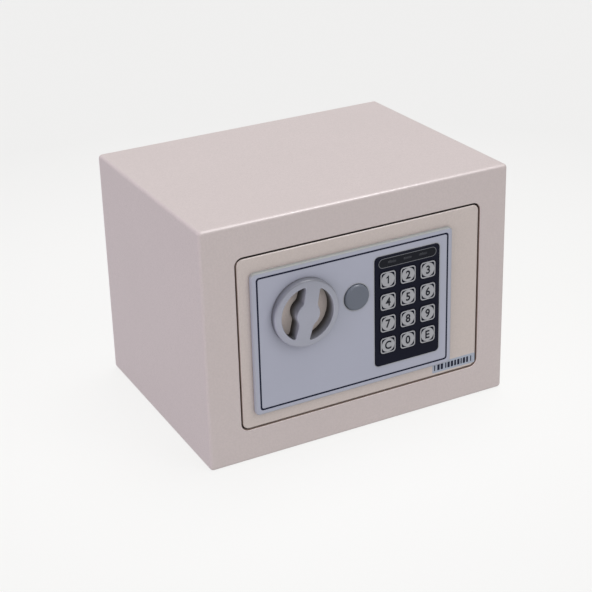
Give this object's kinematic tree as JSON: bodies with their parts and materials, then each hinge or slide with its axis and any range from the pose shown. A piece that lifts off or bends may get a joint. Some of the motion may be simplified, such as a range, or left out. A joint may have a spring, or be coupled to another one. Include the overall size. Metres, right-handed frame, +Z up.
{
  "type": "in-room safe",
  "caption": "Small sheet steel in-room safe with a flush hinged door, a pocketed turning knob, a numeric keypad, round locking bolts and a hidden key override.",
  "frame": {"origin": "centre of the base, on the underside of the floor", "axes": "+X to the right seen from the door, +Y from the door towards the back, +Z up"},
  "size_m": [0.23, 0.1813, 0.17],
  "materials": {
    "body_paint": "satin powder coat with a fine orange peel, warm off-white",
    "door_paint": "satin powder coat with a fine orange peel, creamy off-white",
    "inner_paint": "satin powder coat on the inside of the door",
    "zinc_steel": "bright zinc-plated steel",
    "bolt_steel": "polished nickel-plated round bar",
    "panel_plastic": "fine-textured moulded ABS, cool grey",
    "knob_plastic": "silver-grey painted moulded plastic, satin",
    "cap_plastic": "darker grey moulded plastic, satin",
    "keypad_film": "black printed film, semi-gloss",
    "key_film": "light grey printed key top, semi-gloss",
    "window_film": "smoked window film",
    "led_plastic": "clear tinted lamp resin",
    "dome_film": "frosted switch film",
    "board": "green solder mask",
    "lead_red": "insulated wire",
    "copper": "varnished copper winding on a moulded bobbin",
    "lock_brass": "turned brass",
    "black_plastic": "black moulded plastic",
    "cell_sleeve": "plain shrink sleeve",
    "reset_red": "red moulded plastic",
    "carpet": "needle-punched felt carpet",
    "label_film": "blank satin sticker"
  },
  "bodies": {
    "safe_body": {"body_shell": "body_paint", "front_frame": "body_paint", "hinge_rails": "body_paint", "back_panel": "body_paint", "strike_angles": "body_paint", "door_stops": "body_paint", "floor_mat": "carpet"},
    "door": {"door_plate": "door_paint", "hinge_brackets": "door_paint", "hinge_pins": "zinc_steel", "bolt_guide": "zinc_steel", "guide_studs": "zinc_steel", "stud_clips": "zinc_steel", "inner_cover": "inner_paint", "cover_posts": "zinc_steel", "cover_screws": "zinc_steel", "door_label": "label_film", "control_panel": "panel_plastic", "panel_screws": "zinc_steel", "keypad_plate": "keypad_film", "led_window": "window_film", "status_leds": "led_plastic", "dome_sheet": "dome_film", "circuit_board": "board", "wire_harness": "lead_red", "solenoid_frame": "zinc_steel", "solenoid_coil": "copper", "plunger_spring": "zinc_steel", "lock_body": "zinc_steel", "lock_nut": "zinc_steel", "battery_holder": "black_plastic", "batteries": "cell_sleeve", "battery_contacts": "zinc_steel", "reset_switch": "black_plastic"},
    "knob": {"knob": "knob_plastic", "knob_shaft": "zinc_steel", "cam_disc": "zinc_steel", "cam_screw": "zinc_steel"},
    "bolt_carriage": {"bolt_carriage": "zinc_steel", "locking_bolts": "bolt_steel"},
    "plunger": {"plunger": "bolt_steel", "plunger_clips": "zinc_steel"},
    "lock_core": {"lock_core": "lock_brass", "lock_cam": "zinc_steel", "lock_cam_nut": "zinc_steel"},
    "lock_cap": {"lock_cap": "cap_plastic"},
    "reset_button": {"reset_button": "reset_red"},
    "battery_lid": {"battery_lid": "black_plastic"},
    "key_1": {"key_1": "key_film"},
    "key_2": {"key_2": "key_film"},
    "key_3": {"key_3": "key_film"},
    "key_4": {"key_4": "key_film"},
    "key_5": {"key_5": "key_film"},
    "key_6": {"key_6": "key_film"},
    "key_7": {"key_7": "key_film"},
    "key_8": {"key_8": "key_film"},
    "key_9": {"key_9": "key_film"},
    "key_c": {"key_c": "key_film"},
    "key_0": {"key_0": "key_film"},
    "key_e": {"key_e": "key_film"}
  },
  "joints": [
    {"name": "door_hinge", "type": "hinge", "parent": "safe_body", "child": "door", "pos_m": [0.0801, -0.0785, 0.085], "axis": [0, 0, 1], "range_deg": [0, 100]},
    {"name": "knob_turn", "type": "hinge", "parent": "door", "child": "knob", "pos_m": [-0.0454, -0.085, 0.1018], "axis": [0, -1, 0], "range_deg": [0, 90]},
    {"name": "carriage_slide", "type": "slide", "parent": "door", "child": "bolt_carriage", "axis": [-1, 0, 0], "range_m": [0, 0.014]},
    {"name": "plunger_slide", "type": "slide", "parent": "door", "child": "plunger", "axis": [0, 0, 1], "range_m": [-0.004, 0], "deforming": ["plunger_spring"]},
    {"name": "override_turn", "type": "hinge", "parent": "door", "child": "lock_core", "pos_m": [-0.0058, -0.085, 0.1018], "axis": [0, -1, 0], "range_deg": [0, 90]},
    {"name": "lock_cap_pull", "type": "slide", "parent": "door", "child": "lock_cap", "axis": [0, -1, 0], "range_m": [0, 0.02]},
    {"name": "reset_press", "type": "slide", "parent": "door", "child": "reset_button", "axis": [-1, 0, 0], "range_m": [0, 0.0015]},
    {"name": "battery_lid_pull", "type": "slide", "parent": "door", "child": "battery_lid", "axis": [0, 1, 0], "range_m": [0, 0.04]},
    {"name": "key_1_press", "type": "slide", "parent": "door", "child": "key_1", "axis": [0, 1, 0], "range_m": [0, 0.0006]},
    {"name": "key_2_press", "type": "slide", "parent": "door", "child": "key_2", "axis": [0, 1, 0], "range_m": [0, 0.0006]},
    {"name": "key_3_press", "type": "slide", "parent": "door", "child": "key_3", "axis": [0, 1, 0], "range_m": [0, 0.0006]},
    {"name": "key_4_press", "type": "slide", "parent": "door", "child": "key_4", "axis": [0, 1, 0], "range_m": [0, 0.0006]},
    {"name": "key_5_press", "type": "slide", "parent": "door", "child": "key_5", "axis": [0, 1, 0], "range_m": [0, 0.0006]},
    {"name": "key_6_press", "type": "slide", "parent": "door", "child": "key_6", "axis": [0, 1, 0], "range_m": [0, 0.0006]},
    {"name": "key_7_press", "type": "slide", "parent": "door", "child": "key_7", "axis": [0, 1, 0], "range_m": [0, 0.0006]},
    {"name": "key_8_press", "type": "slide", "parent": "door", "child": "key_8", "axis": [0, 1, 0], "range_m": [0, 0.0006]},
    {"name": "key_9_press", "type": "slide", "parent": "door", "child": "key_9", "axis": [0, 1, 0], "range_m": [0, 0.0006]},
    {"name": "key_c_press", "type": "slide", "parent": "door", "child": "key_c", "axis": [0, 1, 0], "range_m": [0, 0.0006]},
    {"name": "key_0_press", "type": "slide", "parent": "door", "child": "key_0", "axis": [0, 1, 0], "range_m": [0, 0.0006]},
    {"name": "key_e_press", "type": "slide", "parent": "door", "child": "key_e", "axis": [0, 1, 0], "range_m": [0, 0.0006]}
  ],
  "couplings": [
    {"joint": "knob_turn", "follows": "carriage_slide", "rad_per_m": 112.2}
  ]
}
